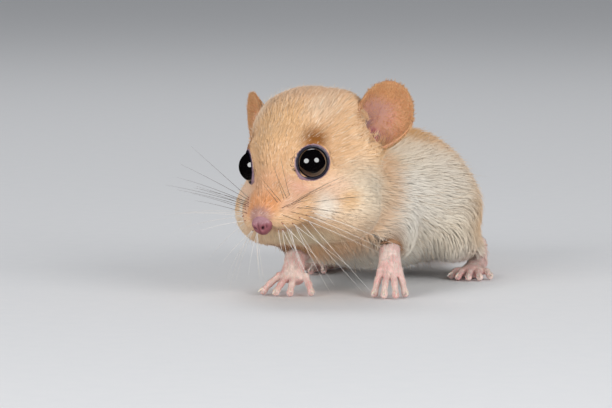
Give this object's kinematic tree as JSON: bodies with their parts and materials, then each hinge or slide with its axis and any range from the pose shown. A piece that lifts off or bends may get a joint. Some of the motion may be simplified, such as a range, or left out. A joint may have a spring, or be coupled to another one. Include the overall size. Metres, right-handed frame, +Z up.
{
  "type": "hazel dormouse",
  "caption": "Life-size still model of a small golden rodent with large dark eyes, rounded ears and a furry tail, crouched on all fours with its head turned aside.",
  "frame": {"origin": "bottom centre of the bounding box, on the floor", "axes": "the body faces -Y, its left side is +X and +Z is up; the head is turned to the animal's right"},
  "size_m": [0.0544, 0.1022, 0.0352],
  "materials": {
    "coat": "soft dense fur, golden buff above, cream below",
    "ear_skin": "thin pinkish skin with sparse short hair",
    "paw_skin": "bare pink skin with fine white hairs and small pale claws",
    "nose_skin": "moist purplish pink skin",
    "eye": "glossy black, stands in for a moist eyeball"
  },
  "bodies": {
    "root": {"head": "coat", "neck": "coat", "torso": "coat", "foreleg_left": "coat", "foreleg_right": "coat", "hindleg_left": "coat", "hindleg_right": "coat", "tail_base": "coat", "tail_middle": "coat", "tail_tip": "coat", "ear_left": "ear_skin", "ear_right": "ear_skin", "forepaw_left": "paw_skin", "forepaw_right": "paw_skin", "hindfoot_left": "paw_skin", "hindfoot_right": "paw_skin", "nose": "nose_skin", "eye_left": "eye", "eye_right": "eye"}
  },
  "joints": []
}
